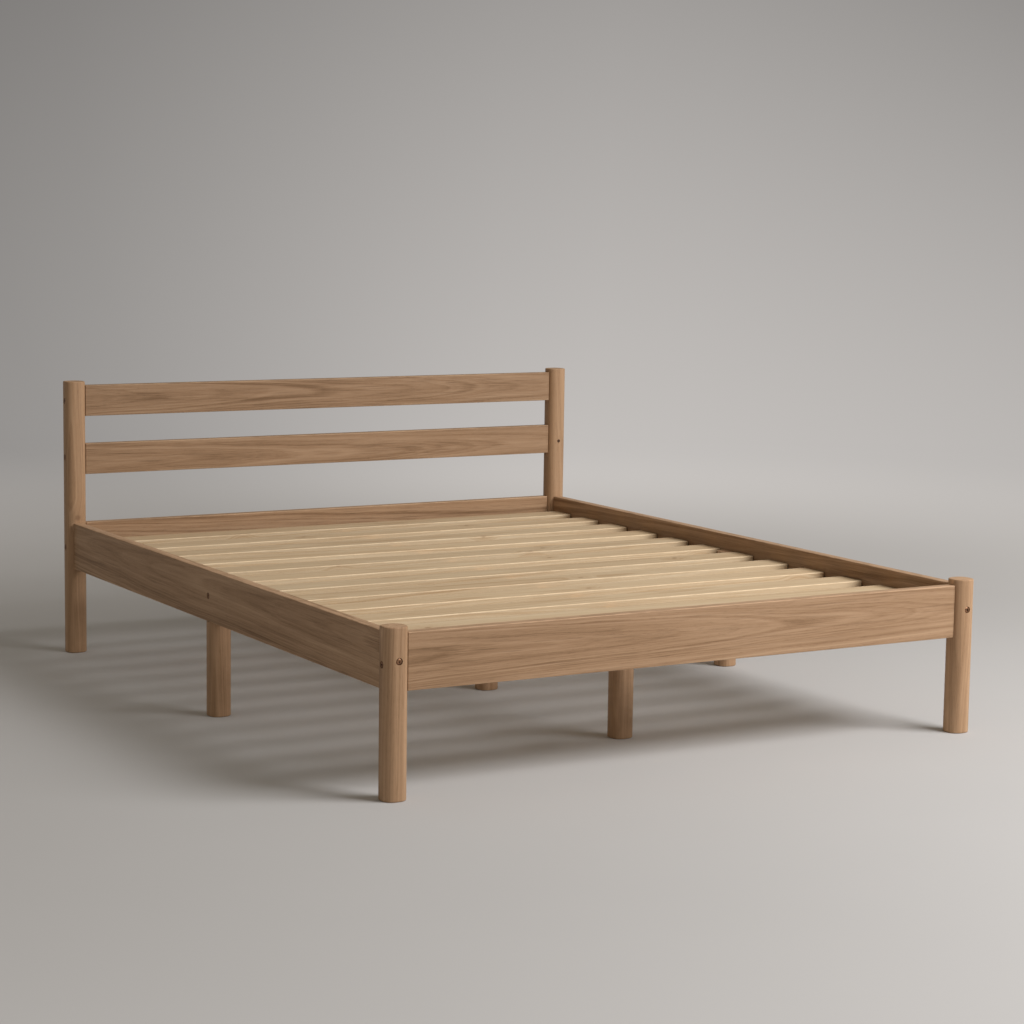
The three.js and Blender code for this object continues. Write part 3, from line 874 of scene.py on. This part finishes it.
def turned_sheet(name, profile, sides=96, closed=False):
    """A sheet turned about the vertical axis: profile is (radius, height) pairs outwards."""
    turns = [2 * math.pi * k / sides for k in range(sides)]
    mesh_builder = bmesh.new()
    loops = [
        [mesh_builder.verts.new((r * math.cos(a), r * math.sin(a), z)) for a in turns]
        for r, z in profile
    ]
    if closed:
        mesh_builder.faces.new(loops[0])
    for ring, after in zip(loops, loops[1:]):
        for i in range(sides):
            j = (i + 1) % sides
            mesh_builder.faces.new((ring[i], after[i], after[j], ring[j]))
    mesh = bpy.data.meshes.new(name)
    mesh_builder.to_mesh(mesh)
    mesh_builder.free()
    mesh.polygons.foreach_set("use_smooth", [True] * len(mesh.polygons))
    sheet = bpy.data.objects.new(name, mesh)
    sheet.location.z = -FLOOR_DROP
    bpy.context.scene.collection.objects.link(sheet)
    add_values(sheet, "far", [far_share(v.co) for v in mesh.vertices])
    add_values(sheet, "glow", [backdrop_glow(v.co) for v in mesh.vertices])
    return sheet


def ease(value, low, high):
    share = min(1.0, max(0.0, (value - low) / (high - low)))
    return share * share * (3 - 2 * share)


def far_share(place):
    """0 near the bed, 1 from the floor's rim outwards."""
    return ease(math.hypot(place.x, place.y), 1.8, FLOOR_REACH)


def backdrop_glow(place):
    """How strongly the far paper glows, as painted light: most past the foot and past the head's
    right corner, least behind the head and on the left, and less upwards. It drops where the turn
    restarts at 0."""
    turn = math.degrees(math.atan2(place.y, place.x)) % 360
    bright = ease(turn, 20, 58)
    dim = ease(turn, 54, 84) * (1 - ease(turn, 200, 260))
    fading = 0.12 + 0.09 * (1 - bright)
    return (0.43 + 0.07 * bright - 0.23 * dim) * max(0.1, 1.05 - fading * place.z)


def studio_paper():
    g = Graph("studio_paper")
    mottle = g.noise(g.add("ShaderNodeTexCoord", {}, "Object"), 3, 0.5)
    near = g.blend(mottle, (0.555, 0.547, 0.543, 1), (0.585, 0.577, 0.573, 1))
    far = g.attribute("far")
    # The far paper has no colour of its own; it glows with painted light instead.
    colour = g.blend(far, near, (0, 0, 0, 1))
    warm = (1.0, 0.955, 0.92, 1)
    g.finish(Base_Color=colour, Roughness=0.8, Emission_Color=warm, Specular_IOR_Level=0.2)
    painted_glow = g.math("MULTIPLY", far, g.math("SUBTRACT", 2.0, far))
    g.fill(g.shader, {"Emission Strength": g.math("MULTIPLY", painted_glow, g.attribute("glow"))})
    return g.material


def studio_floor():
    """A pale paper floor that curves up far away on every side, so that no horizon shows."""
    paper = studio_paper()
    rings = [(FLOOR_RING * (k + 1), 0.0) for k in range(int(FLOOR_REACH / FLOOR_RING))]
    floor = turned_sheet("studio_floor", rings, closed=True)
    turns = [math.radians(90 * k / BACKDROP_RINGS) for k in range(BACKDROP_RINGS + 1)]
    curve = [
        (FLOOR_REACH + BACKDROP_RISE * math.sin(turn), BACKDROP_RISE * (1 - math.cos(turn)))
        for turn in turns
    ]
    backdrop = turned_sheet("studio_backdrop", curve)
    # The backdrop's glow is painted light: diffuse rays don't see it and it casts no shadow.
    backdrop.visible_diffuse = False
    backdrop.visible_shadow = False
    for sheet in (floor, backdrop):
        sheet.data.materials.append(paper)


def softbox(name, place, target, width, height, power, colour):
    data = bpy.data.lights.new(name, "AREA")
    data.shape = "RECTANGLE"
    data.size, data.size_y = width, height
    data.energy = power
    data.color = colour
    lamp = bpy.data.objects.new(name, data)
    lamp.location = place
    lamp.rotation_euler = (Vector(target) - Vector(place)).to_track_quat("-Z", "Y").to_euler()
    bpy.context.scene.collection.objects.link(lamp)


def studio_lights():
    """One large soft light high on the right of the foot end, and a warm fill from all round."""
    softbox(
        "key_light", place=(2.9, -4.1, 4.0), target=(1.3, 0.15, 0.1),
        width=3.6, height=2.8, power=362, colour=(1.0, 0.99, 0.99),
    )
    world = bpy.data.worlds.new("studio_air")
    world.use_nodes = True
    fill = world.node_tree.nodes["Background"]
    fill.inputs["Color"].default_value = (1.0, 0.905, 0.76, 1)
    fill.inputs["Strength"].default_value = 0.25
    bpy.context.scene.world = world


def camera():
    """Low, off the left foot corner and turned right, with the camera rolled a touch."""
    data = bpy.data.cameras.new("camera")
    data.sensor_width = 36
    data.lens = 88.4
    view = bpy.data.objects.new("camera", data)
    heading, down, roll = math.radians(30.11), math.radians(7.33), math.radians(0.83)
    view.matrix_world = (
        Matrix.Translation((-3.383, -5.962, 1.376))
        @ Matrix.Rotation(-heading, 4, "Z")
        @ Matrix.Rotation(math.pi / 2 - down, 4, "X")
        @ Matrix.Rotation(roll, 4, "Z")
    )
    bpy.context.scene.collection.objects.link(view)
    bpy.context.scene.camera = view


studio_floor()
studio_lights()
camera()
bpy.context.scene.view_settings.view_transform = "Standard"
